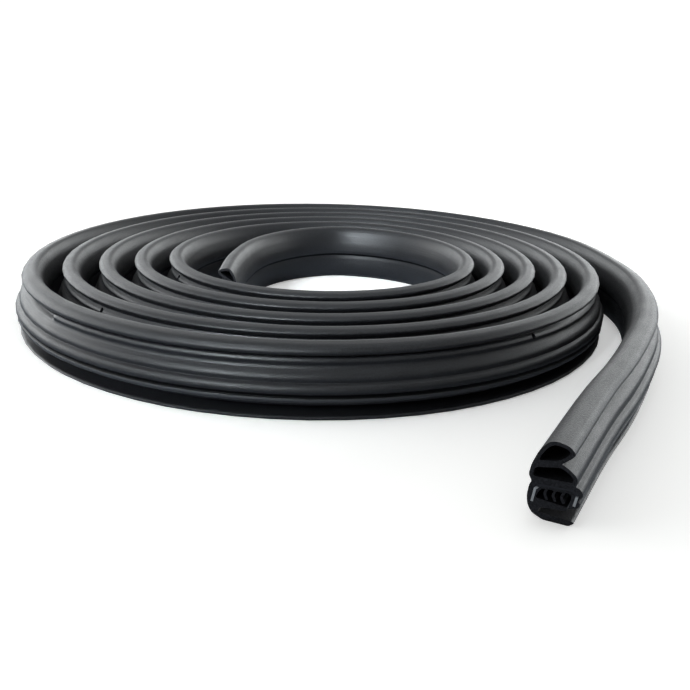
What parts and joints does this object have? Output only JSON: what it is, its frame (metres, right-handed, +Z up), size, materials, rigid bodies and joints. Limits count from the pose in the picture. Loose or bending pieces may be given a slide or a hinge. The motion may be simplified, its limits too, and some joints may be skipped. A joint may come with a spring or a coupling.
{
  "type": "windshield rubber seal",
  "caption": "Flat coil of black rubber windshield seal: hollow bulbs over a finned channel with a steel carrier and a foot lip, standing bulb up with its outer end left loose.",
  "frame": {"origin": "on the floor, under the middle of the footprint's bounding box", "axes": "+Z up from the sole of the foot lip to the crest of the bulb, +Y from the side of the loose end to the back of the coil, +X to the right"},
  "size_m": [0.338, 0.408, 0.032],
  "materials": {
    "rubber": "satin black extruded rubber",
    "steel": "bright sheared steel strip"
  },
  "bodies": {
    "root": {"rubber_seal": "rubber", "steel_carrier": "steel"}
  },
  "joints": []
}
